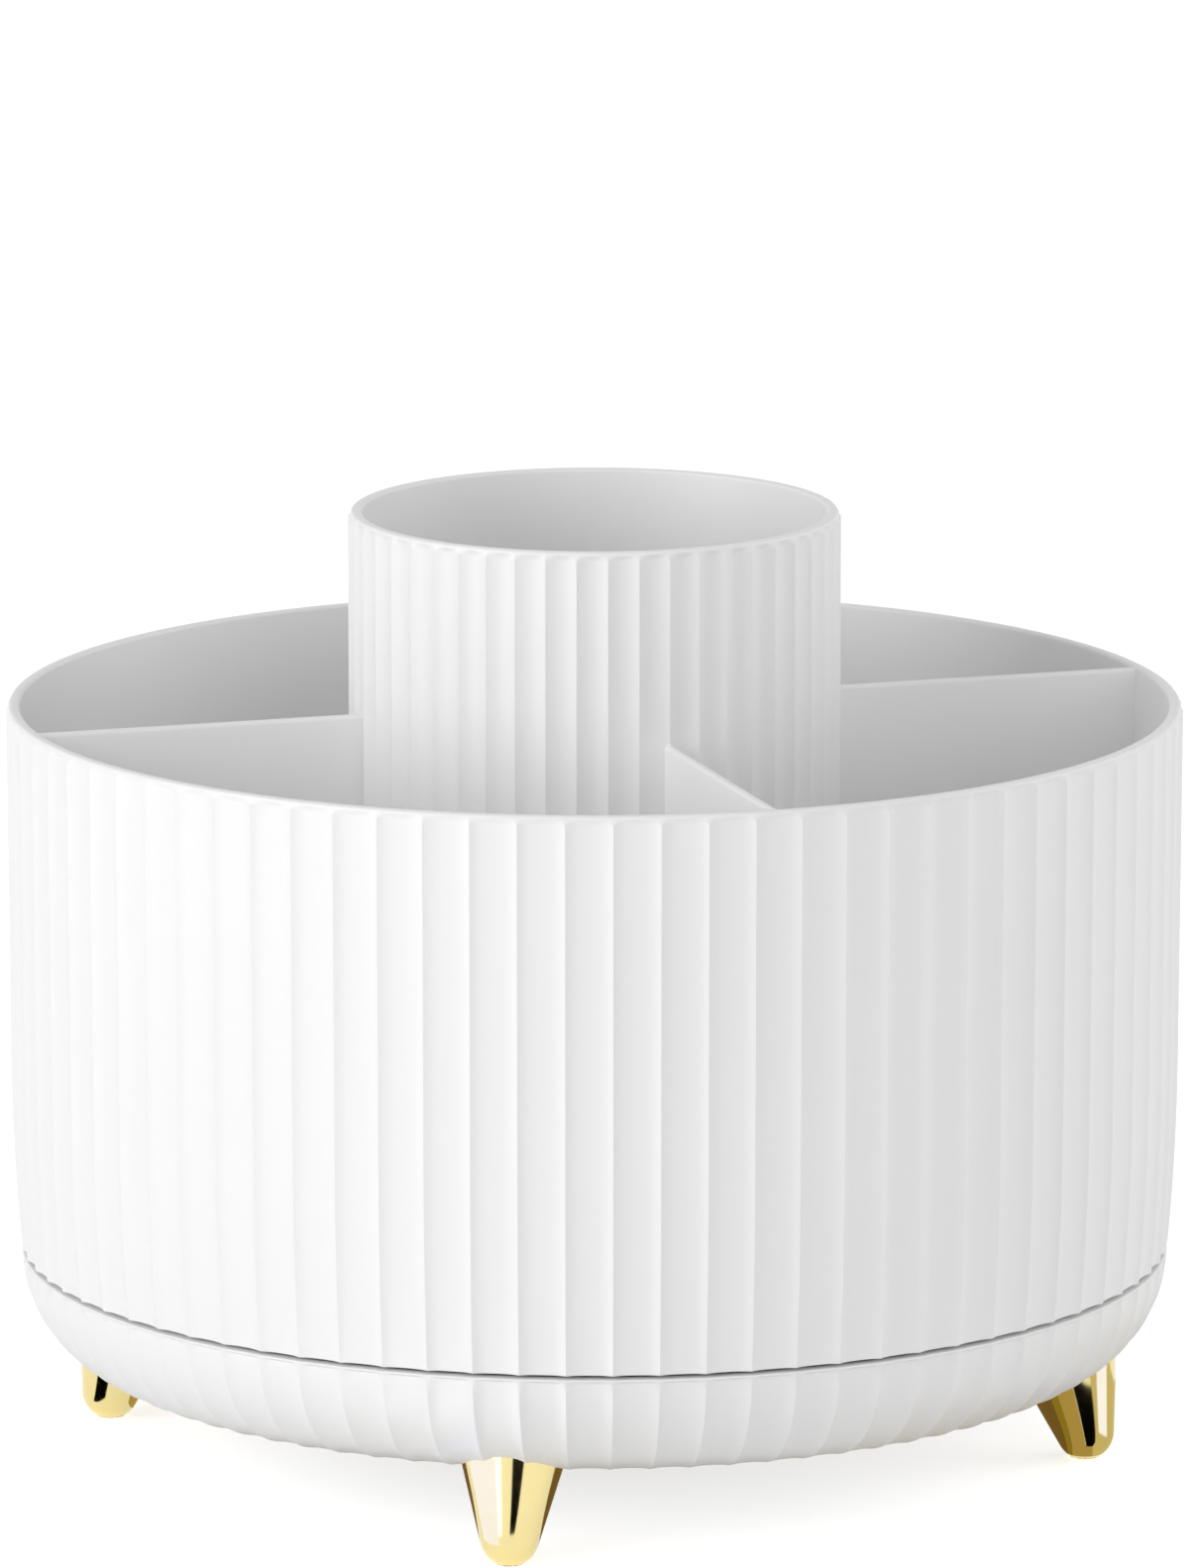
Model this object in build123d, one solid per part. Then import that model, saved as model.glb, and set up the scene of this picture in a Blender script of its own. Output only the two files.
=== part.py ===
from build123d import *
import math
import os

# A round vanity organizer: a fluted tub with a tall middle cup and four compartments turns on a spindle and
# a glide washer over a fluted dish, and the dish stands on four tapered, splayed feet.
# Millimetres. Z is up and is the spin axis, and z = 0 is the table. Each ring of flutes has a valley on +X.

# Heights, from the table up
leg_height = 15.6
dish_depth = 19.2
seam_gap = 0.6
tub_height = 93.9
cup_rise = 32.8

# Outer wall of the tub
rim_radius = 100.0
rim_wall = 2.4
wall_lean = 0.5
wall_curl = 1.3
wall_curl_height = 28.0
inner_wall_lean = 1.8
outer_flutes = 80
outer_flute_depth = 0.7
floor_thickness = 2.2

# Dividers
divider_thickness = 1.6
divider_count = 4
divider_below_rim = 0.15
divider_embed = 0.6

# Cup in the middle
cup_radius = 41.8
cup_wall = 2.4
cup_flutes = 50
cup_flute_depth = 0.46

# Dish
dish_step = 0.1
dish_corner_width = 18.0
dish_wall = 1.9
dish_floor_thickness = 2.4
dish_flute_share = 0.48
dish_corner_steps = 3

# Spindle, hub and what holds the tub down
spindle_radius = 8.0
spindle_length = 14.4
spindle_clearance = 0.05
hub_wall = 2.2
washer_radius = 9.6
washer_thickness = 1.0
washer_bore_clearance = 0.15
washer_play = 0.2

# Raised middle of the dish and the glide washer on it
plinth_radius = 28.0
plinth_wall = 2.2
glide_width = 14.0
glide_thickness = 2.0
glide_running_gap = 0.05
glide_side_clearance = 0.1
collar_height = 1.2

# Stiffening ribs in the dish
rib_count = 8
rib_thickness = 1.6
rib_height = 6.0
rib_overlap = 0.5
rib_end_gap = 3.0

# Feet
foot_count = 4
foot_angle = -27.0
foot_inset = 15.0
foot_tip_radius = 4.95
foot_taper = 15.5
foot_splay = 14.4
foot_flat_drop = 4.55
foot_overlap = 8.0

# Screws
foot_screw_radius = 1.5
foot_screw_length = 9.0
foot_screw_inset = 18.5
centre_screw_radius = 1.75
centre_screw_length = 12.0
screw_head_share = 1.9
screw_head_height = 2.0
screw_slot_width = 0.8
screw_slot_depth = 1.1
screw_hole_clearance = 0.2
pilot_extra_depth = 1.0

# Levels that follow from the sizes above
dish_bottom = leg_height
dish_top = dish_bottom + dish_depth
dish_floor = dish_bottom + dish_floor_thickness
tub_bottom = dish_top + seam_gap
tub_floor = tub_bottom + floor_thickness
rim_top = tub_bottom + tub_height
cup_top = rim_top + cup_rise
glide_top = tub_bottom - glide_running_gap
glide_bottom = glide_top - glide_thickness
plinth_roof = glide_bottom - plinth_wall
spindle_end = tub_bottom - spindle_length
hub_end = spindle_end + washer_play

# Radii that follow
tub_edge_radius = rim_radius - wall_lean - wall_curl
inner_rim_radius = rim_radius - rim_wall
inner_floor_radius = inner_rim_radius - inner_wall_lean
dish_radius = tub_edge_radius - dish_step
dish_flat_radius = dish_radius - dish_corner_width
dish_flute_depth = outer_flute_depth * dish_flute_share
dish_inner_radius = dish_radius - dish_flute_depth - dish_wall
dish_floor_radius = dish_flat_radius + dish_corner_width / 4
hub_bore_radius = spindle_radius + spindle_clearance
hub_radius = hub_bore_radius + hub_wall
glide_inner_radius = hub_radius + glide_side_clearance
glide_outer_radius = glide_inner_radius + glide_width
foot_screw_place_radius = rim_radius - foot_screw_inset


def polar(radius, angle, height):
    """A point at a radius and an angle in degrees about Z."""
    turn = math.radians(angle)
    return Vector(radius * math.cos(turn), radius * math.sin(turn), height)


def around_z(count, first=0.0):
    """Turns about Z, evenly spaced."""
    return [Rot(0, 0, first + 360 / count * index) for index in range(count)]


def turned_polygon(*corners):
    """A solid of revolution about Z with a straight-sided outline of (radius, height) corners."""
    outline = Polyline(*corners, close=True)
    return revolve(Plane.XZ * Face(Wire(outline.edges())), Axis.Z)


def ring(inner_radius, outer_radius, bottom, top):
    """A plain ring about Z."""
    return disc(outer_radius, bottom, top) - disc(inner_radius, bottom, top)


def disc(radius, bottom, top):
    """A plain disc about Z."""
    return Pos(0, 0, bottom) * Cylinder(radius, top - bottom, align=(Align.CENTER, Align.CENTER, Align.MIN))


def fluted_face(ridge_radius, flutes, depth, height):
    """A level face whose edge is a round of concave flutes with sharp ridges between them."""
    pitch = 360 / flutes
    scallops = []
    for index in range(flutes):
        ridge = polar(ridge_radius, (index - 0.5) * pitch, height)
        valley = polar(ridge_radius - depth, index * pitch, height)
        next_ridge = polar(ridge_radius, (index + 0.5) * pitch, height)
        scallops.append(ThreePointArc(ridge, valley, next_ridge))
    return Face(Wire(scallops))


def tub_outside():
    """The solid fluted form of the outer wall: it leans in towards the floor and curls in above the seam."""
    curl_middle = tub_bottom + wall_curl_height / 2
    curl_middle_radius = rim_radius - wall_lean - wall_curl / 4
    sections = [
        fluted_face(tub_edge_radius, outer_flutes, outer_flute_depth, tub_bottom),
        fluted_face(curl_middle_radius, outer_flutes, outer_flute_depth, curl_middle),
        fluted_face(rim_radius, outer_flutes, outer_flute_depth, rim_top),
    ]
    return loft(sections, ruled=True)


def tub_space(growth=0.0):
    """The smooth drafted inside of the outer wall, from the floor up to the rim."""
    return Pos(0, 0, tub_floor) * Cone(
        inner_floor_radius + growth,
        inner_rim_radius + growth,
        rim_top - tub_floor,
        align=(Align.CENTER, Align.CENTER, Align.MIN),
    )


def cup_outside():
    """The solid fluted form of the cup, from inside the tub's floor up to its mouth."""
    foot_level = tub_floor - floor_thickness / 2
    return extrude(fluted_face(cup_radius, cup_flutes, cup_flute_depth, foot_level), cup_top - foot_level)


def cup_space():
    """The smooth inside of the cup."""
    return disc(cup_radius - cup_wall, tub_floor, cup_top)


def divider():
    """One radial wall on +X, round along its top edge, from the axis into the outer wall."""
    top = rim_top - divider_below_rim
    shoulder = top - divider_thickness / 2
    foot = tub_floor - floor_thickness / 2
    half = divider_thickness / 2
    section = Face(
        Wire(
            [
                Line((0, -half, foot), (0, half, foot)),
                Line((0, half, foot), (0, half, shoulder)),
                ThreePointArc((0, half, shoulder), (0, 0, top), (0, -half, shoulder)),
                Line((0, -half, shoulder), (0, -half, foot)),
            ]
        )
    )
    plate = extrude(section, amount=rim_radius, dir=(1, 0, 0))
    return plate & (tub_space(divider_embed) + disc(rim_radius / 2, foot, tub_floor))


def screw(radius, length):
    """A slotted cheese-head screw. Its head stands on z = 0 and its shank points down."""
    head_radius = radius * screw_head_share
    head = Cylinder(head_radius, screw_head_height, align=(Align.CENTER, Align.CENTER, Align.MIN))
    shank = Cylinder(radius, length, align=(Align.CENTER, Align.CENTER, Align.MAX))
    slot = Pos(0, 0, screw_head_height) * Box(head_radius * 3, screw_slot_width, screw_slot_depth * 2)
    return head + shank - slot


def screw_pilot(radius, length):
    """The blind hole that a screw is driven into, from its mouth at z = 0 downwards."""
    return Cylinder(radius, length + pilot_extra_depth, align=(Align.CENTER, Align.CENTER, Align.MAX))


def organizer_tub():
    """One moulding: fluted wall, floor, four dividers and fluted cup, with the spindle underneath."""
    tub = tub_outside() - tub_space()
    tub += cup_outside()
    for turn in around_z(divider_count):
        tub += turn * divider()
    tub -= cup_space()
    tub += disc(spindle_radius, spindle_end, tub_bottom)
    return tub - centre_screw_place() * screw_pilot(centre_screw_radius, centre_screw_length)


def dish_side():
    """Points (radius, height) down the dish's side: a quarter ellipse from the top edge to the underside."""
    turns = [math.radians(90 * step / dish_corner_steps) for step in range(dish_corner_steps + 1)]
    return [
        (dish_flat_radius + dish_corner_width * math.cos(turn), dish_top - dish_depth * math.sin(turn))
        for turn in turns
    ]


def dish_outside():
    """The solid outer form of the dish, with flutes that get shallower as its side turns in."""
    sections = [
        fluted_face(radius, outer_flutes, dish_flute_depth * radius / dish_radius, height)
        for radius, height in dish_side()
    ]
    return loft(sections, ruled=True)


def dish_ridge_form():
    """The smooth form that just touches the ridges of the dish's flutes. The feet are cut to it."""
    return turned_polygon((0, dish_top), *dish_side(), (0, dish_bottom))


def dish_space():
    """The inside of the dish round its raised middle: a flat floor and a sloped wall."""
    return turned_polygon(
        (plinth_radius, dish_floor),
        (dish_floor_radius, dish_floor),
        (dish_inner_radius, dish_top),
        (plinth_radius, dish_top),
    )


def dish_rib():
    """One low radial rib on +X, from the raised middle to just short of the sloped wall."""
    length = dish_floor_radius - rib_end_gap - plinth_radius + rib_overlap
    rib = Box(length, rib_thickness, rib_height, align=(Align.MIN, Align.CENTER, Align.MIN))
    return Pos(plinth_radius - rib_overlap, 0, dish_floor) * rib


def base_dish():
    """The lower shell: it carries the feet outside, and the hub and glide washer on its raised middle."""
    dish = dish_outside() - dish_space()
    dish -= disc(plinth_radius, glide_bottom, dish_top)
    dish += disc(hub_radius, dish_floor, glide_bottom + collar_height)
    dish -= disc(plinth_radius - plinth_wall, dish_bottom, plinth_roof)
    dish += disc(hub_radius, hub_end, plinth_roof)
    dish -= disc(hub_bore_radius, dish_bottom, tub_bottom)
    for turn in around_z(rib_count, 180 / rib_count):
        dish += turn * dish_rib()
    for place in foot_screw_places():
        dish -= place * Cylinder(foot_screw_radius + screw_hole_clearance, dish_depth)
    return dish


def foot_place():
    """The frame of the foot on +X: its origin is the tip's centre and its Z runs up the splayed foot."""
    return Pos(rim_radius - foot_inset, 0, foot_flat_drop) * Rot(0, -foot_splay, 0)


def foot_radius(along):
    """Radius of the tapered foot at a distance up its own axis from the tip's centre."""
    return foot_tip_radius / math.cos(math.radians(foot_taper)) + along * math.tan(math.radians(foot_taper))


def foot():
    """The plated foot on +X: a cone with a round tip and a small flat, cut to seat on the dish."""
    cone_start = -foot_tip_radius * math.sin(math.radians(foot_taper))
    top = leg_height + foot_overlap
    cone = Pos(0, 0, cone_start) * Cone(
        foot_radius(cone_start),
        foot_radius(top),
        top - cone_start,
        align=(Align.CENTER, Align.CENTER, Align.MIN),
    )
    body = foot_place() * (cone + Sphere(foot_tip_radius))
    below = disc(rim_radius * 2, -rim_radius, 0)
    body -= below
    body -= dish_ridge_form()
    pilot = screw_pilot(foot_screw_radius, foot_screw_length)
    return body - Pos(foot_screw_place_radius, 0, dish_floor) * pilot


def feet():
    """The four feet."""
    one = foot()
    return Compound(children=[turn * one for turn in around_z(foot_count, foot_angle)])


def foot_screw_places():
    """Where the heads of the foot screws stand, on the floor inside the dish."""
    first = Pos(foot_screw_place_radius, 0, dish_floor)
    return [turn * first for turn in around_z(foot_count, foot_angle)]


def foot_screws():
    """The screws that hold the feet, driven down from inside the dish."""
    one = screw(foot_screw_radius, foot_screw_length)
    return Compound(children=[place * one for place in foot_screw_places()])


def glide_washer():
    """The low-friction washer round the hub that the tub's floor slides on."""
    return ring(glide_inner_radius, glide_outer_radius, glide_bottom, glide_top)


def retaining_washer():
    """The steel washer that is wider than the hub's bore and so holds the tub down."""
    bore = centre_screw_radius + washer_bore_clearance
    return ring(bore, washer_radius, spindle_end - washer_thickness, spindle_end)


def centre_screw_place():
    """The centre screw's head faces down, under the retaining washer."""
    return Pos(0, 0, spindle_end - washer_thickness) * Rot(180, 0, 0)


def centre_screw():
    """The screw that is driven up into the spindle from the recess under the dish."""
    return centre_screw_place() * screw(centre_screw_radius, centre_screw_length)


pieces = {
    "organizer_tub": organizer_tub(),
    "base_dish": base_dish(),
    "feet": feet(),
    "foot_screws": foot_screws(),
    "glide_washer": glide_washer(),
    "retaining_washer": retaining_washer(),
    "centre_screw": centre_screw(),
}

os.makedirs("parts", exist_ok=True)
for name, piece in pieces.items():
    export_step(piece, os.path.join("parts", name + ".step"))
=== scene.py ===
import math

import bmesh
import bpy
from mathutils import Matrix, Vector


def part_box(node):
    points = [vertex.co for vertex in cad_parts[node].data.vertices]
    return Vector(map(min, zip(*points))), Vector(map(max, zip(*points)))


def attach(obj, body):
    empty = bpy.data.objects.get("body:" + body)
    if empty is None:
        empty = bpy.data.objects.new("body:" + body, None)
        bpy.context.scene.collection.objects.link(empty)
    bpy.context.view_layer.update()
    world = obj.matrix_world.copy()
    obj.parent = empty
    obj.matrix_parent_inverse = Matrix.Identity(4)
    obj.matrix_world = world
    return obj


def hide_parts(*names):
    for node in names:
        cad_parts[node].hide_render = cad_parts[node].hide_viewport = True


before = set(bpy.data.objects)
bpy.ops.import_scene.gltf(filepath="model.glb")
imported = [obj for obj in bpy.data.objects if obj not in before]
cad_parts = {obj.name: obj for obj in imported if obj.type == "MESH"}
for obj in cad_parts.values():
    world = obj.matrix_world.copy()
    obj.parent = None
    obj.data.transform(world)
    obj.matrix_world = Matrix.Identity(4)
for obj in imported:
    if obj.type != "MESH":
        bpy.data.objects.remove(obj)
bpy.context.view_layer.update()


# The tub
# One white ABS moulding: a fluted wall with a drafted, smooth inside, a flat floor and a spindle under it.
# The flutes are shallow scallops that stop just under the rounded rim.

mm = 0.001
cup_rise = 32.8 * mm
seam_gap = 0.6 * mm
tub_floor_thickness = 2.2 * mm
rim_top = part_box("organizer_tub")[1][2] - cup_rise
tub_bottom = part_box("base_dish")[1][2] + seam_gap
tub_floor = tub_bottom + tub_floor_thickness
spindle_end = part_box("organizer_tub")[0][2]
spindle_radius = 8 * mm
underside_border = 4 * mm
rim_radius = 100 * mm
rim_wall = 2.4 * mm
rim_round = 0.6 * mm
lip_inset = 0.4 * mm
wall_lean = 0.5 * mm
wall_curl = 1.3 * mm
wall_curl_height = 32 * mm
wall_rows = 14
inner_wall_lean = 1.8 * mm
seam_round = 0.35 * mm
floor_fillet = 2 * mm
outer_flutes = 80
outer_flute_depth = 0.7 * mm
outer_flute_power = 3
flute_run_out = 0.5 * mm
outside_tolerance = 0.6 * mm
steps_per_flute = 12
merge_distance = 0.001 * mm


def linear_colour(code):
    """The linear RGBA colour of an sRGB hex code."""
    channels = [int(code[place:place + 2], 16) / 255 for place in (1, 3, 5)]
    linear = [(c / 12.92) if c <= 0.04045 else ((c + 0.055) / 1.055) ** 2.4 for c in channels]
    return (*linear, 1.0)


def add_node(tree, kind, settings=None, links=None):
    """Adds a node, fills its inputs or properties, and links its inputs to (node, output) pairs."""
    node = tree.nodes.new(kind)
    for key, value in (settings or {}).items():
        if isinstance(key, int) or key in node.inputs:
            node.inputs[key].default_value = value
        else:
            setattr(node, key, value)
    for key, (source, output) in (links or {}).items():
        tree.links.new(source.outputs[output], node.inputs[key])
    return node


def new_material(name):
    """A new material and its emptied node tree."""
    material = bpy.data.materials.new(name)
    material.use_nodes = True
    material.node_tree.nodes.clear()
    return material, material.node_tree


def white_moulded_abs():
    """Moulded ABS from a polished tool: an even soft white, a low sheen and the faintest waviness."""
    material, tree = new_material("white_moulded_abs")
    flow_size = 45 * mm
    grain_size = 0.9 * mm
    grain_height = 0.02 * mm
    place = {"Vector": (add_node(tree, "ShaderNodeTexCoord"), "Object")}
    flow = add_node(tree, "ShaderNodeTexNoise", {"Scale": 1 / flow_size, "Detail": 2.0}, place)
    grain = add_node(tree, "ShaderNodeTexNoise", {"Scale": 1 / grain_size, "Detail": 3.0}, place)
    # A colour mix takes its two colours at inputs 6 and 7 and gives the result at output 2.
    whites = {"data_type": "RGBA", 6: linear_colour("#f2f2f2"), 7: linear_colour("#f5f5f5")}
    tint = add_node(tree, "ShaderNodeMix", whites, {0: (flow, "Fac")})
    levels = {"To Min": 0.36, "To Max": 0.46}
    sheen = add_node(tree, "ShaderNodeMapRange", levels, {"Value": (grain, "Fac")})
    waves = {"Strength": 0.15, "Distance": grain_height}
    skin = add_node(tree, "ShaderNodeBump", waves, {"Height": (grain, "Fac")})
    surface = {"Base Color": (tint, 2), "Roughness": (sheen, "Result"), "Normal": (skin, "Normal")}
    shader = add_node(tree, "ShaderNodeBsdfPrincipled", {"IOR": 1.53}, surface)
    add_node(tree, "ShaderNodeOutputMaterial", links={"Surface": (shader, "BSDF")})
    return material


abs_white = white_moulded_abs()


def arc(centre, radius, start, end, steps=5):
    """Points of a (radius, height) profile along an arc, with its angles in degrees, ends included."""
    centre_radius, centre_height = centre
    angles = [math.radians(start + (end - start) * step / steps) for step in range(steps + 1)]
    return [(centre_radius + radius * math.cos(a), centre_height + radius * math.sin(a)) for a in angles]


def whole(mesh):
    """All the points, edges and faces of a mesh."""
    return list(mesh.verts) + list(mesh.edges) + list(mesh.faces)


def spun(profile, steps, closed=False):
    """A shell of revolution about Z from a (radius, height) profile, a quarter that is repeated round."""
    shell = bmesh.new()
    points = [shell.verts.new((radius, 0, height)) for radius, height in profile]
    edges = [shell.edges.new(pair) for pair in zip(points, points[1:])]
    if closed:
        edges.append(shell.edges.new((points[-1], points[0])))
    quarter = math.pi / 2
    about = {"cent": (0, 0, 0), "axis": (0, 0, 1)}
    bmesh.ops.spin(shell, geom=points + edges, angle=quarter, steps=steps // 4, **about)
    bmesh.ops.spin(shell, geom=whole(shell), angle=3 * quarter, steps=3, use_duplicate=True, **about)
    bmesh.ops.remove_doubles(shell, verts=shell.verts, dist=merge_distance)
    bmesh.ops.recalc_face_normals(shell, faces=shell.faces)
    return shell


def press_flutes(shell, flutes, power, depth_at):
    """Presses scallops into a shell. depth_at gives how far inwards and upwards at a (radius, height)."""
    pitch = 2 * math.pi / flutes
    for point in shell.verts:
        radius = point.co.xy.length
        inwards, upwards = depth_at(radius, point.co.z)
        if inwards or upwards:
            turn = math.atan2(point.co.y, point.co.x) / pitch
            from_valley = 2 * abs(turn - round(turn))
            share = 1 - from_valley**power
            point.co.xy *= 1 - inwards * share / radius
            point.co.z += upwards * share


def linked_object(mesh, name, material):
    """Turns a bmesh into an object of one material at the origin."""
    data = bpy.data.meshes.new(name)
    mesh.to_mesh(data)
    mesh.free()
    data.materials.append(material)
    made = bpy.data.objects.new(name, data)
    bpy.context.scene.collection.objects.link(made)
    return made


def make_piece(mesh, name, body, node, material, sharp_angle=40):
    """Turns a bmesh into a smooth-shaded piece that rides on a body and stands for a CAD node."""
    piece = linked_object(mesh, name, material)
    piece.data.shade_smooth()
    piece.data.set_sharp_from_angle(angle=math.radians(sharp_angle))
    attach(piece, body)
    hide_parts(node)


def wall_radius(height):
    """Radius over the ridges of the outer wall, which leans in and then curls in above the seam."""
    lean = wall_lean * (rim_top - height) / (rim_top - tub_bottom)
    curl = max(0.0, 1 - (height - tub_bottom) / wall_curl_height)
    return rim_radius - lean - wall_curl * curl**2


def row_heights(first, top, rows):
    """Heights of the rows of points above the first on a fluted wall, the last two just under its lip."""
    flute_top = top - rim_round - flute_run_out
    last = flute_top - flute_run_out
    return [*[first + (last - first) * (step / rows) for step in range(1, rows + 1)], flute_top]


def rounded_lip(outer, mouth, top):
    """The profile of a plain lip between its outer and inner radius, rounded on both sides."""
    level = top - rim_round
    return [
        (outer, level),
        *arc((outer - rim_round, level), rim_round, 0, 90)[1:],
        *arc((mouth + rim_round, level), rim_round, 90, 180),
    ]


def tub_profile():
    """From the spindle's end out under the floor, up the wall, over the rim and back to the middle."""
    edge = wall_radius(tub_bottom) - seam_round
    heights = row_heights(tub_bottom + seam_round, rim_top, wall_rows)
    inner_rim = rim_radius - rim_wall
    inner_foot = inner_rim - inner_wall_lean
    return [
        (0, spindle_end),
        (spindle_radius, spindle_end),
        (spindle_radius, tub_bottom),
        (edge - underside_border, tub_bottom),
        *arc((edge, tub_bottom + seam_round), seam_round, -90, 0),
        *[(wall_radius(height), height) for height in heights],
        *rounded_lip(rim_radius - lip_inset, inner_rim, rim_top),
        *arc((inner_foot - floor_fillet, tub_floor + floor_fillet), floor_fillet, 0, -90, steps=8),
        (0, tub_floor),
    ]


def is_fluted(radius, height, ridge_radius, top):
    """Whether a point lies on the outside of a wall, below its plain lip."""
    return radius >= ridge_radius - outside_tolerance and height <= top - rim_round - flute_run_out / 2


def tub_flute_depth(radius, height):
    """Full depth on the outer wall."""
    ridge_radius = wall_radius(max(height, tub_bottom))
    if is_fluted(radius, height, ridge_radius, rim_top):
        return outer_flute_depth, 0
    return 0, 0


tub_shell = spun(tub_profile(), outer_flutes * steps_per_flute)
press_flutes(tub_shell, outer_flutes, outer_flute_power, tub_flute_depth)
make_piece(tub_shell, "tub_wall_and_floor", "tub", "organizer_tub", abs_white)


# The cup
# The taller cup for long things, in the middle of the same moulding. Its finer flutes run down to the
# floor, where a small fillet joins it to the tub.

cup_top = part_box("organizer_tub")[1][2]
cup_radius = 41.8 * mm
cup_wall = 2.4 * mm
cup_flutes = 50
cup_flute_depth = 0.7 * mm
cup_flute_power = 2
cup_foot_fillet = 1.5 * mm
cup_rows = 6
floor_embed = 0.5 * mm


def cup_profile():
    """A closed section, up from the floor's fillet, over the lip, down the inside and back in the floor."""
    fillet_middle = cup_radius + cup_foot_fillet
    heights = row_heights(tub_floor + cup_foot_fillet, cup_top, cup_rows)
    mouth = cup_radius - cup_wall
    return [
        *arc((fillet_middle, tub_floor + cup_foot_fillet), cup_foot_fillet, -90, -180, steps=6),
        *[(cup_radius, height) for height in heights],
        *rounded_lip(cup_radius - lip_inset, mouth, cup_top),
        *arc((mouth - floor_fillet, tub_floor + floor_fillet), floor_fillet, 0, -90, steps=8),
        (mouth - floor_fillet, tub_floor - floor_embed),
        (fillet_middle, tub_floor - floor_embed),
    ]


def cup_flute_depth_at(radius, height):
    """Full depth on the outside, running out into the fillet at the floor."""
    if not is_fluted(radius, height, cup_radius, cup_top):
        return 0, 0
    above_floor = (height - tub_floor) / cup_foot_fillet
    return cup_flute_depth * min(1.0, max(0.0, above_floor)), 0


cup_shell = spun(cup_profile(), cup_flutes * steps_per_flute, closed=True)
press_flutes(cup_shell, cup_flutes, cup_flute_power, cup_flute_depth_at)
make_piece(cup_shell, "tub_cup", "tub", "organizer_tub", abs_white)


# The dividers
# Four radial walls of the same moulding, from the cup to the outer wall. Their tops are fully rounded and
# stand a hair below the rim, and a fillet runs along each foot.

divider_count = 4
divider_thickness = 1.6 * mm
divider_drop = 0.15 * mm
divider_top = rim_top - divider_drop
divider_fillet = 1.5 * mm
divider_embed = 0.6 * mm


def divider_outline():
    """The cross-section of a divider, as (across, height) points round its fillets and rounded top."""
    half = divider_thickness / 2
    foot = tub_floor - floor_embed
    right = arc((half + divider_fillet, tub_floor + divider_fillet), divider_fillet, -90, -180, steps=6)
    left = [(-across, height) for across, height in reversed(right)]
    top = arc((0, divider_top - half), half, 0, 180, steps=10)
    return [(half + divider_fillet, foot), *right, *top, *left, (-half - divider_fillet, foot)]


def points_in(geometry):
    """The points among mixed points, edges and faces."""
    return [part for part in geometry if isinstance(part, bmesh.types.BMVert)]


def push_out(mesh, inner_end, outline):
    """Draws a section across X and extrudes it. The far end's points come back, still to be moved."""
    section = mesh.faces.new([mesh.verts.new((inner_end, across, height)) for across, height in outline])
    pushed = bmesh.ops.extrude_face_region(mesh, geom=[section])
    return points_in(pushed["geom"])


def repeat_round(mesh, count, first_turn=0.0):
    """Turns a mesh about Z by a first angle, then repeats it round to a number of copies in all."""
    first = Matrix.Rotation(first_turn, 3, "Z")
    bmesh.ops.rotate(mesh, verts=mesh.verts, cent=(0, 0, 0), matrix=first)
    one = whole(mesh)
    for place in range(1, count):
        copy = bmesh.ops.duplicate(mesh, geom=one)
        turn = Matrix.Rotation(2 * math.pi * place / count, 3, "Z")
        bmesh.ops.rotate(mesh, verts=points_in(copy["geom"]), cent=(0, 0, 0), matrix=turn)
    bmesh.ops.recalc_face_normals(mesh, faces=mesh.faces)


def divider_mesh():
    """The dividers as one mesh: a section drawn at the cup, pushed out to the wall and repeated round."""
    walls = bmesh.new()
    lean = inner_wall_lean / (rim_top - tub_floor)
    for point in push_out(walls, cup_radius - cup_wall / 2, divider_outline()):
        wall_here = rim_radius - rim_wall - lean * (rim_top - point.co.z)
        point.co.x = math.sqrt((wall_here + divider_embed) ** 2 - point.co.y**2)
    repeat_round(walls, divider_count)
    return walls


make_piece(divider_mesh(), "tub_dividers", "tub", "organizer_tub", abs_white)


# The dish
# The white ABS base that the tub turns on. Its flutes line up with the tub's and follow the rounded side in
# under the edge. Inside, a raised middle carries the hub and the glide washer.

dish_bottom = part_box("base_dish")[0][2]
dish_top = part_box("base_dish")[1][2]
dish_depth = dish_top - dish_bottom
dish_step_in = 0.1 * mm
dish_radius = wall_radius(tub_bottom) - dish_step_in
dish_corner_width = 18 * mm
dish_flat_radius = dish_radius - dish_corner_width
dish_wall = 1.9 * mm
dish_edge_round = 0.35 * mm
dish_floor_thickness = 2.4 * mm
dish_floor = dish_bottom + dish_floor_thickness
dish_floor_reach = 4.5 * mm
dish_floor_radius = dish_flat_radius + dish_floor_reach
dish_flute_depth = 0.6 * mm
dish_flute_lift = 0.15
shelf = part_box("glide_washer")[0][2]
collar_height = 1.2 * mm
hub_bore_radius = 8.05 * mm
hub_wall = 2.2 * mm
hub_radius = hub_bore_radius + hub_wall
hub_end_gap = 0.2 * mm
hub_end = spindle_end + hub_end_gap
plinth_radius = 28 * mm
plinth_wall = 2.2 * mm
corner_rows = 16
flute_end_width = 0.9 * mm


def dish_side(turn):
    """A point of the rounded side, at an angle in degrees from its top edge down to the underside."""
    angle = math.radians(turn)
    radius = dish_flat_radius + dish_corner_width * math.cos(angle)
    return (radius, dish_top - dish_depth * math.sin(angle))


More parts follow.
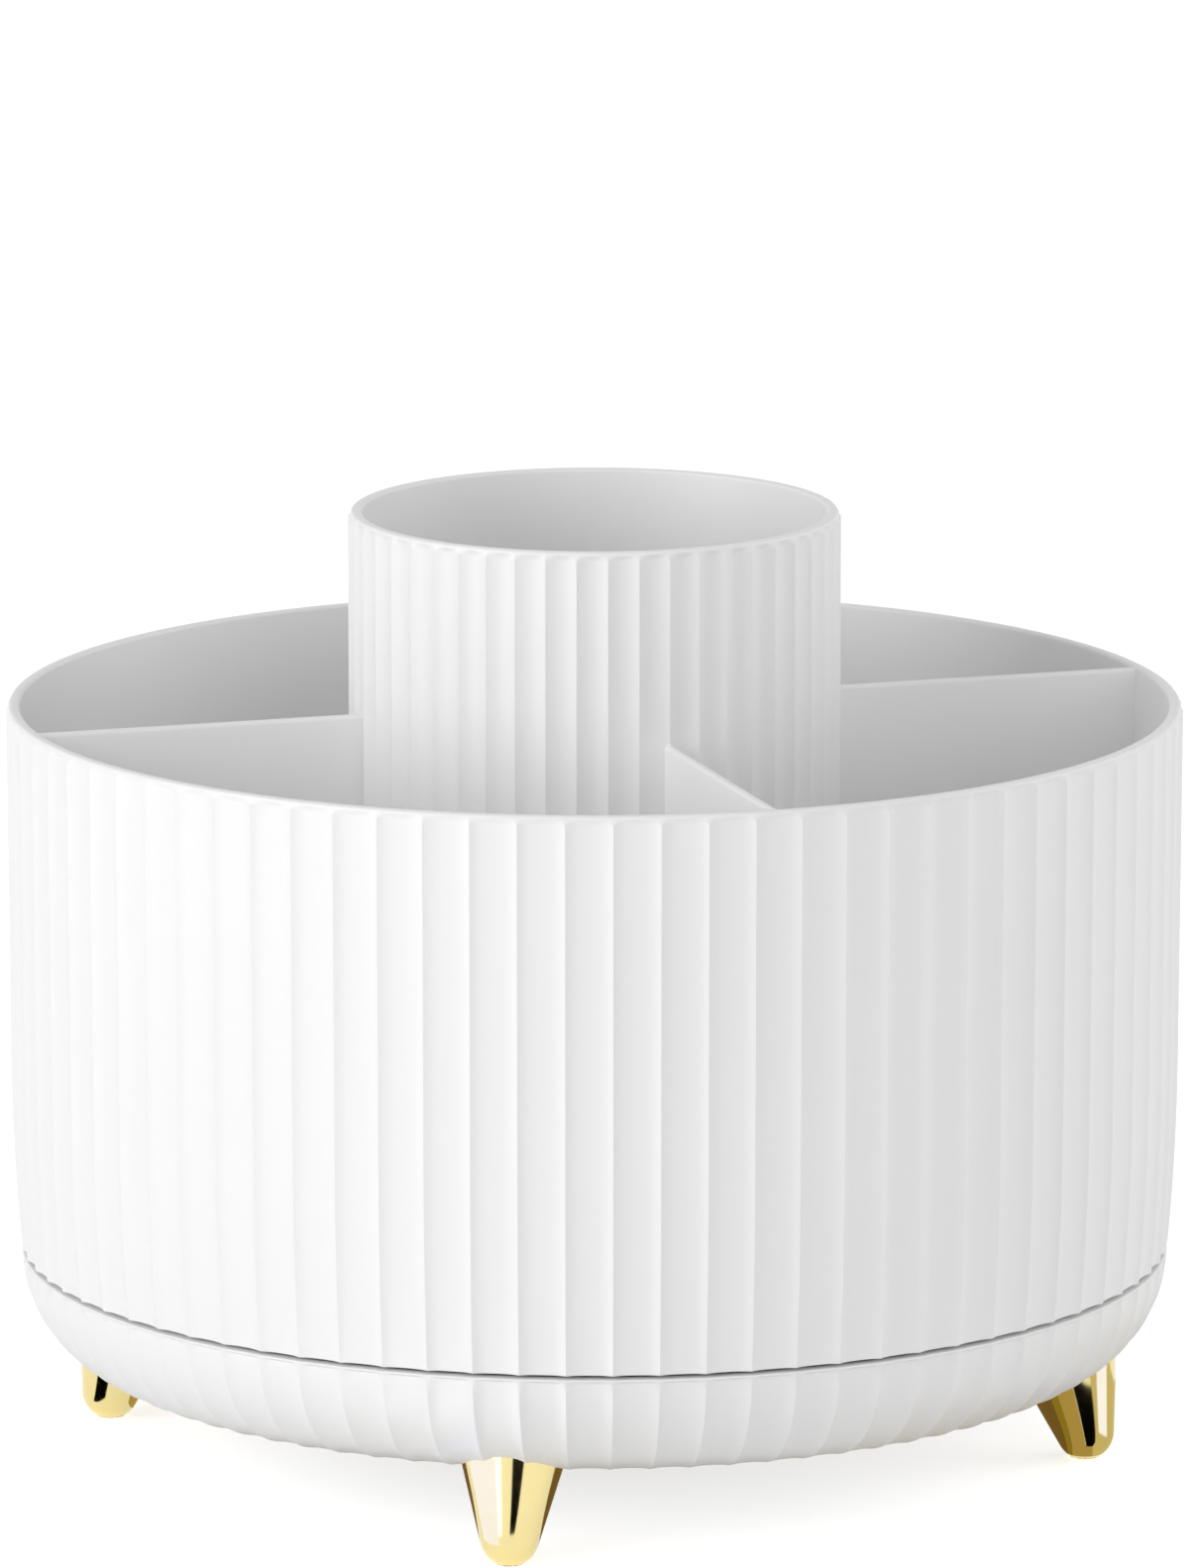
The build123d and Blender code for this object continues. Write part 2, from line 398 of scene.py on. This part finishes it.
def dish_profile():
    """A closed section: up the hub's bore, over the raised middle, up inside, down the side and under."""
    inner_radius = dish_radius - dish_flute_depth - dish_wall
    edge = (dish_radius - dish_edge_round, dish_top - dish_edge_round)
    first_turn = 2
    turns = [first_turn + (90 - first_turn) * step / corner_rows for step in range(corner_rows + 1)]
    return [
        (hub_bore_radius, hub_end),
        (hub_bore_radius, shelf + collar_height),
        (hub_radius, shelf + collar_height),
        (hub_radius, shelf),
        (plinth_radius, shelf),
        (plinth_radius, dish_floor),
        (dish_floor_radius, dish_floor),
        (inner_radius, dish_top),
        *arc(edge, dish_edge_round, 90, 0)[:-1],
        *[dish_side(turn) for turn in turns],
        (dish_flat_radius - flute_end_width, dish_bottom),
        (plinth_radius - plinth_wall, dish_bottom),
        (plinth_radius - plinth_wall, shelf - plinth_wall),
        (hub_radius, shelf - plinth_wall),
        (hub_radius, hub_end),
    ]


def dish_flute_depth_at(radius, height):
    """Nothing on the top edge or the underside. On the side the flutes are cut square to the surface."""
    edge_share = 0.9
    flat_tolerance = 0.1 * mm
    inside_tolerance = 0.5 * mm
    if radius < dish_flat_radius - flat_tolerance or height > dish_top - dish_edge_round * edge_share:
        return 0, 0
    across = min(1.0, max(0.0, (radius - dish_flat_radius) / dish_corner_width))
    down = math.sqrt(1 - across**2)
    if height > dish_top - dish_depth * down + inside_tolerance:
        return 0, 0
    slope = Vector((across / dish_corner_width, down / dish_depth)).normalized()
    return dish_flute_depth, dish_flute_depth * slope.y * dish_flute_lift


dish_shell = spun(dish_profile(), outer_flutes * steps_per_flute, closed=True)
press_flutes(dish_shell, outer_flutes, outer_flute_power, dish_flute_depth_at)
make_piece(dish_shell, "dish_shell", "base", "base_dish", abs_white, sharp_angle=28)


# The dish's ribs
# Eight low radial ribs of the same moulding, which stiffen the floor of the dish between its raised middle
# and its side. They thin towards their rounded tops, so that the mould lets go of them.

rib_count = 8
rib_thickness = 1.6 * mm
rib_draft = 0.2 * mm
rib_height = 6 * mm
rib_overlap = 0.5 * mm
rib_end_gap = 3 * mm


def rib_mesh():
    """The ribs as one mesh: a section drawn at the raised middle, pushed outwards and repeated round."""
    ribs = bmesh.new()
    half_foot = rib_thickness / 2
    half_top = half_foot - rib_draft
    foot = dish_floor - floor_embed
    top = arc((0, dish_floor + rib_height - half_top), half_top, 0, 180, steps=8)
    inner_end = plinth_radius - rib_overlap
    length = dish_floor_radius - rib_end_gap - inner_end
    far_end = push_out(ribs, inner_end, [(half_foot, foot), *top, (-half_foot, foot)])
    bmesh.ops.translate(ribs, verts=far_end, vec=(length, 0, 0))
    repeat_round(ribs, rib_count, math.pi / rib_count)
    return ribs


make_piece(rib_mesh(), "dish_ribs", "base", "base_dish", abs_white)


# The feet
# Four tapered, splayed feet in plastic with a polished gold-coloured plating. Each one has a blunt round
# tip with a small flat to stand on, and its top seats on the rounded underside of the dish.

foot_names = ["right", "back", "left", "front"]
foot_angle = math.radians(-27)
foot_tip_place = 85 * mm
foot_tip_radius = 4.95 * mm
foot_tip_height = 4.55 * mm
foot_taper = math.radians(15.5)
foot_splay = math.radians(14.4)
foot_length = 14 * mm
foot_top_rings = 4
foot_top_tolerance = 0.1 * mm
foot_seat_depth = 0.8 * mm
foot_flat_round = 0.6 * mm
foot_steps = 96


def clouded(name, finish, cloud_size, detail, tints, roughness):
    """A material whose tint and roughness drift a little between two values with one soft noise."""
    material, tree = new_material(name)
    place = {"Vector": (add_node(tree, "ShaderNodeTexCoord"), "Object")}
    cloud = add_node(tree, "ShaderNodeTexNoise", {"Scale": 1 / cloud_size, "Detail": detail}, place)
    colours = {"data_type": "RGBA", 6: linear_colour(tints[0]), 7: linear_colour(tints[1])}
    tint = add_node(tree, "ShaderNodeMix", colours, {0: (cloud, "Fac")})
    levels = {"To Min": roughness[0], "To Max": roughness[1]}
    sheen = add_node(tree, "ShaderNodeMapRange", levels, {"Value": (cloud, "Fac")})
    surface = {"Base Color": (tint, 2), "Roughness": (sheen, "Result")}
    shader = add_node(tree, "ShaderNodeBsdfPrincipled", finish, surface)
    add_node(tree, "ShaderNodeOutputMaterial", links={"Surface": (shader, "BSDF")})
    return material


# Electroplated ABS with a gold-toned lacquer: a pale mirror gold with the slightest haze.
gold_plated_abs = clouded(
    "gold_plated_abs",
    {"Metallic": 1.0},
    cloud_size=6 * mm,
    detail=3.0,
    tints=("#dccc8f", "#e3d49c"),
    roughness=(0.07, 0.13),
)


def foot_profile():
    """Half the outline of a foot along its own axis, round the tip, up the taper and over the top."""
    tip = arc((0, 0), foot_tip_radius, -90, -math.degrees(foot_taper), steps=14)
    top_radius = foot_tip_radius / math.cos(foot_taper) + foot_length * math.tan(foot_taper)
    rings = range(foot_top_rings, -1, -1)
    return [*tip, *[(top_radius * ring / foot_top_rings, foot_length) for ring in rings]]


def in_dish_wall(place):
    """Whether a place lies deeper in the dish than the foot's seat."""
    across = (place.xy.length - dish_flat_radius) / (dish_corner_width - foot_seat_depth)
    down = (dish_top - place.z) / (dish_depth - foot_seat_depth)
    return down**2 + max(0.0, across) ** 2 < 1


def seat_top(points, apex):
    """Slides the points of the top along their lines from the taper's apex until they lie in the dish."""
    share_below_dish = 0.5
    share_in_dish = 1.6
    halvings = 24
    for point in points:
        line = point.co - apex
        below, inside = share_below_dish, share_in_dish
        for _ in range(halvings):
            middle = (below + inside) / 2
            if in_dish_wall(apex + line * middle):
                inside = middle
            else:
                below = middle
        point.co = apex + line * below


def foot_mesh(turn):
    """A foot spun on its own axis, splayed, seated in the dish, cut flat below and turned to its place."""
    foot = spun(foot_profile(), foot_steps)
    tops = [point for point in foot.verts if point.co.z > foot_length - foot_top_tolerance]
    lift = Matrix.Translation((foot_tip_place, 0, foot_tip_height))
    stance = lift @ Matrix.Rotation(-foot_splay, 4, "Y")
    bmesh.ops.transform(foot, matrix=stance, verts=foot.verts)
    seat_top(tops, stance @ Vector((0, 0, -foot_tip_radius / math.sin(foot_taper))))
    cut = bmesh.ops.bisect_plane(
        foot, geom=whole(foot), plane_co=(0, 0, 0), plane_no=(0, 0, -1), clear_outer=True
    )
    rim = [part for part in cut["geom_cut"] if isinstance(part, bmesh.types.BMEdge)]
    bmesh.ops.holes_fill(foot, edges=rim, sides=0)
    bmesh.ops.bevel(
        foot, geom=rim, offset=foot_flat_round, segments=3, profile=0.5, affect="EDGES", material=-1
    )
    about_z = Matrix.Rotation(turn, 3, "Z")
    bmesh.ops.rotate(foot, verts=foot.verts, cent=(0, 0, 0), matrix=about_z)
    return foot


def foot_turn(foot_name):
    """The angle of a foot about Z."""
    return foot_angle + 2 * math.pi * foot_names.index(foot_name) / len(foot_names)


for foot_name in foot_names:
    foot = foot_mesh(foot_turn(foot_name))
    make_piece(foot, "foot_" + foot_name, "base", "feet", gold_plated_abs)


# The fixings and the glide washer
# Zinc-plated steel screws and a steel washer hold the tub and the feet, and an acetal washer carries the
# tub. They keep their CAD shapes.

# Bright zinc on turned steel: a cool grey with fine turning marks.
zinc_plated_steel = clouded(
    "zinc_plated_steel",
    {"Metallic": 1.0},
    cloud_size=0.8 * mm,
    detail=4.0,
    tints=("#a9acb0", "#c4c6c9"),
    roughness=(0.28, 0.42),
)

# Moulded acetal in its natural colour: a waxy off-white that slides well.
natural_acetal = clouded(
    "natural_acetal",
    {"IOR": 1.48},
    cloud_size=8 * mm,
    detail=2.0,
    tints=("#e3e0d6", "#ebe9e1"),
    roughness=(0.45, 0.55),
)


def refinish(node, material):
    """Gives a CAD node's object a better material."""
    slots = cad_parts[node].data.materials
    slots.clear()
    slots.append(material)


for node in ("foot_screws", "retaining_washer", "centre_screw"):
    refinish(node, zinc_plated_steel)
refinish("glide_washer", natural_acetal)


# The studio
# A long lens a little above the rim, three big soft lamps with the key lamp at the left front, and an even
# white surround. The pale floor runs out of the picture and keeps the organizer's shadow.

camera_turn = math.radians(-17.5)
camera_rise = math.radians(11.46202)
camera_distance = 2039.45 * mm
camera_aim = Vector((0, 0, 114.53 * mm))
floor_reach = 8
floor_glow = 0.66
surround_on_object = 0.47


def from_aim(turn, rise, distance):
    """A place seen from the aim point, by its angle from the front about Z and its angle above level."""
    flat = math.cos(rise)
    direction = Vector((math.sin(turn) * flat, -math.cos(turn) * flat, math.sin(rise)))
    return camera_aim + distance * direction


def aimed(thing, place):
    """Links a camera or lamp at a place and points it at the aim point."""
    made = bpy.data.objects.new(thing.name, thing)
    bpy.context.scene.collection.objects.link(made)
    made.location = place
    made.rotation_euler = (camera_aim - place).to_track_quat("-Z", "Y").to_euler()
    return made


camera = bpy.data.cameras.new("camera")
camera.lens = 274.95
camera.sensor_width = 36
camera.clip_end = 50
bpy.context.scene.camera = aimed(camera, from_aim(camera_turn, camera_rise, camera_distance))


def soft_lamp(name, turn, rise, distance, size, power):
    """A square soft lamp. Its turn from the camera's side and its rise are in degrees."""
    lamp = bpy.data.lights.new(name, "AREA")
    lamp.shape = "SQUARE"
    lamp.size = size
    lamp.energy = power
    aimed(lamp, from_aim(camera_turn + math.radians(turn), math.radians(rise), distance))


soft_lamp("key_lamp", turn=-58, rise=12, distance=1.6, size=1.2, power=14.2)
soft_lamp("fill_lamp", turn=15, rise=8, distance=1.8, size=1.2, power=6.5)
soft_lamp("edge_lamp", turn=100, rise=16, distance=1.8, size=1.4, power=8.2)


def seen_directly(tree):
    """One for what the camera, a reflection or a clear piece shows, nothing for what lights the object."""
    ray = add_node(tree, "ShaderNodeLightPath")
    mirrored = {0: (ray, "Is Camera Ray"), 1: (ray, "Is Glossy Ray")}
    first = add_node(tree, "ShaderNodeMath", {"operation": "MAXIMUM"}, mirrored)
    through = {0: (first, "Value"), 1: (ray, "Is Transmission Ray")}
    return add_node(tree, "ShaderNodeMath", {"operation": "MAXIMUM"}, through)


def floor_paint():
    """A matt white sweep. Its glow for the camera and the plating makes it white outside the shadow."""
    material, tree = new_material("white_sweep")
    matt = add_node(tree, "ShaderNodeBsdfDiffuse", {"Color": linear_colour("#e7e7e7")})
    seen = {0: (seen_directly(tree), "Value")}
    level = add_node(tree, "ShaderNodeMath", {"operation": "MULTIPLY", 1: floor_glow}, seen)
    white = {"Color": linear_colour("#ffffff")}
    glow = add_node(tree, "ShaderNodeEmission", white, {"Strength": (level, "Value")})
    both = add_node(tree, "ShaderNodeAddShader", links={0: (matt, "BSDF"), 1: (glow, "Emission")})
    add_node(tree, "ShaderNodeOutputMaterial", links={"Surface": (both, "Shader")})
    return material


floor_mesh = bmesh.new()
bmesh.ops.create_grid(floor_mesh, x_segments=4, y_segments=4, size=floor_reach)
floor_object = linked_object(floor_mesh, "floor", floor_paint())


def studio_world():
    """An even white surround, weaker on the object than what the camera and the plating see of it."""
    world = bpy.data.worlds.new("studio")
    world.use_nodes = True
    tree = world.node_tree
    tree.nodes.clear()
    levels = {"To Min": surround_on_object, "To Max": 1.0}
    level = add_node(tree, "ShaderNodeMapRange", levels, {"Value": (seen_directly(tree), "Value")})
    white = {"Color": linear_colour("#ffffff")}
    surround = add_node(tree, "ShaderNodeBackground", white, {"Strength": (level, "Result")})
    add_node(tree, "ShaderNodeOutputWorld", links={"Surface": (surround, "Background")})
    return world


bpy.context.scene.world = studio_world()
bpy.context.scene.view_settings.view_transform = "Standard"


# The cards for the plating
# Small cards round each foot that nothing but a reflection sees: flat ones just above the floor, and
# upright ones beside the foot. The dark ones draw the gold's stripes and shades, the pale ones its lights.

shade_radius = 76 * mm
shade_height = 0.4 * mm
shade_steps = 48
card_height = 0.8 * mm
screen_distance = 13
screen_height = 16 * mm
screen_steps = 8


def card_paint(name, colour, strength=1.0):
    """A plain glowing card."""
    material, tree = new_material(name)
    glow = add_node(tree, "ShaderNodeEmission", {"Color": linear_colour(colour), "Strength": strength})
    add_node(tree, "ShaderNodeOutputMaterial", links={"Surface": (glow, "Emission")})
    return material


def mirrored_only(mesh, name, paint):
    """Links a stage card that nothing but a reflection sees."""
    card_object = linked_object(mesh, name, paint)
    card_object.visible_camera = False
    card_object.visible_diffuse = False
    card_object.visible_shadow = False
    card_object.visible_transmission = False


def beside_foot(foot_name, bearing, distance):
    """A place by a foot, at a bearing in degrees, 0 being the front, and a distance in mm."""
    outward = foot_turn(foot_name)
    turn = camera_turn + math.radians(bearing)
    tip_x, tip_y = math.cos(outward) * foot_tip_place, math.sin(outward) * foot_tip_place
    tip = Vector((tip_x, tip_y, card_height))
    return tip + distance * mm * Vector((math.sin(turn), -math.cos(turn), 0))


def card(name, paint, foot_name, corners, round_back=0):
    """A flat card by a foot, from the bearings and distances of its corners."""
    mesh = bmesh.new()
    places = [beside_foot(foot_name, bearing + round_back, distance) for bearing, distance in corners]
    mesh.faces.new([mesh.verts.new(place) for place in places])
    mirrored_only(mesh, name, paint)


def screen(name, paint, foot_name, first, last, round_back=0):
    """A small card that stands upright round one side of a foot, from one bearing to another."""
    mesh = bmesh.new()
    bearings = [first + (last - first) * step / screen_steps for step in range(screen_steps + 1)]
    places = [beside_foot(foot_name, bearing + round_back, screen_distance) for bearing in bearings]
    points = [mesh.verts.new(place) for place in places]
    edges = [mesh.edges.new(pair) for pair in zip(points, points[1:])]
    raised = bmesh.ops.extrude_edge_only(mesh, edges=edges)
    bmesh.ops.translate(mesh, verts=points_in(raised["geom"]), vec=(0, 0, screen_height))
    mirrored_only(mesh, name, paint)


black_card = card_paint("black_card", "#050505")
brown_card = card_paint("brown_card", "#7c643b")
bronze_card = card_paint("bronze_card", "#9a8737")
tan_card = card_paint("tan_card", "#bea86d")
gold_card = card_paint("gold_card", "#dfd3a5")
pale_card = card_paint("pale_card", "#c2c9ff", strength=2.4)
white_card = card_paint("white_card", "#ffffff", strength=3.5)

shade = bmesh.new()
bmesh.ops.create_circle(shade, cap_ends=True, segments=shade_steps, radius=shade_radius)
bmesh.ops.translate(shade, verts=shade.verts, vec=(0, 0, shade_height))
mirrored_only(shade, "shade_under_dish", brown_card)

for foot_name, round_back in (("front", 0), ("back", 180)):
    stripe = [(-1, 20), (14, 20), (25, 86), (-1, 86)]
    light = [(-45, 20), (-26, 20), (-26, 86), (-45, 86)]
    card("dark_" + foot_name, black_card, foot_name, stripe, round_back)
    card("bright_" + foot_name, white_card, foot_name, light, round_back)
    screen("pale_" + foot_name, pale_card, foot_name, -33, -96, round_back)

card("dark_right", black_card, "right", [(1, 6.5), (21, 6.5), (47, 30), (1, 30)])
card("tip_right", tan_card, "right", [(0, 0), (0, 6.5), (21, 6.5)])
card("tan_right", tan_card, "right", [(0, 0), (0, 60), (-41, 70)])
card("bronze_right", bronze_card, "right", [(0, 0), (-41, 70), (-62, 70)])
card("brown_right", brown_card, "right", [(0, 0), (-62, 70), (-120, 90), (-170, 40)])
card("gold_right", gold_card, "right", [(0, 0), (21, 6.5), (47, 30), (47, 60), (110, 60), (178, 60)])
screen("pale_right", pale_card, "right", 49, 82)

card("dark_left", black_card, "left", [(-56, 8.5), (-18, 8.5), (-18, 20), (-56, 20)])
card("tan_left", tan_card, "left", [(58, 6), (58, 60), (110, 80), (150, 40), (150, 6)])
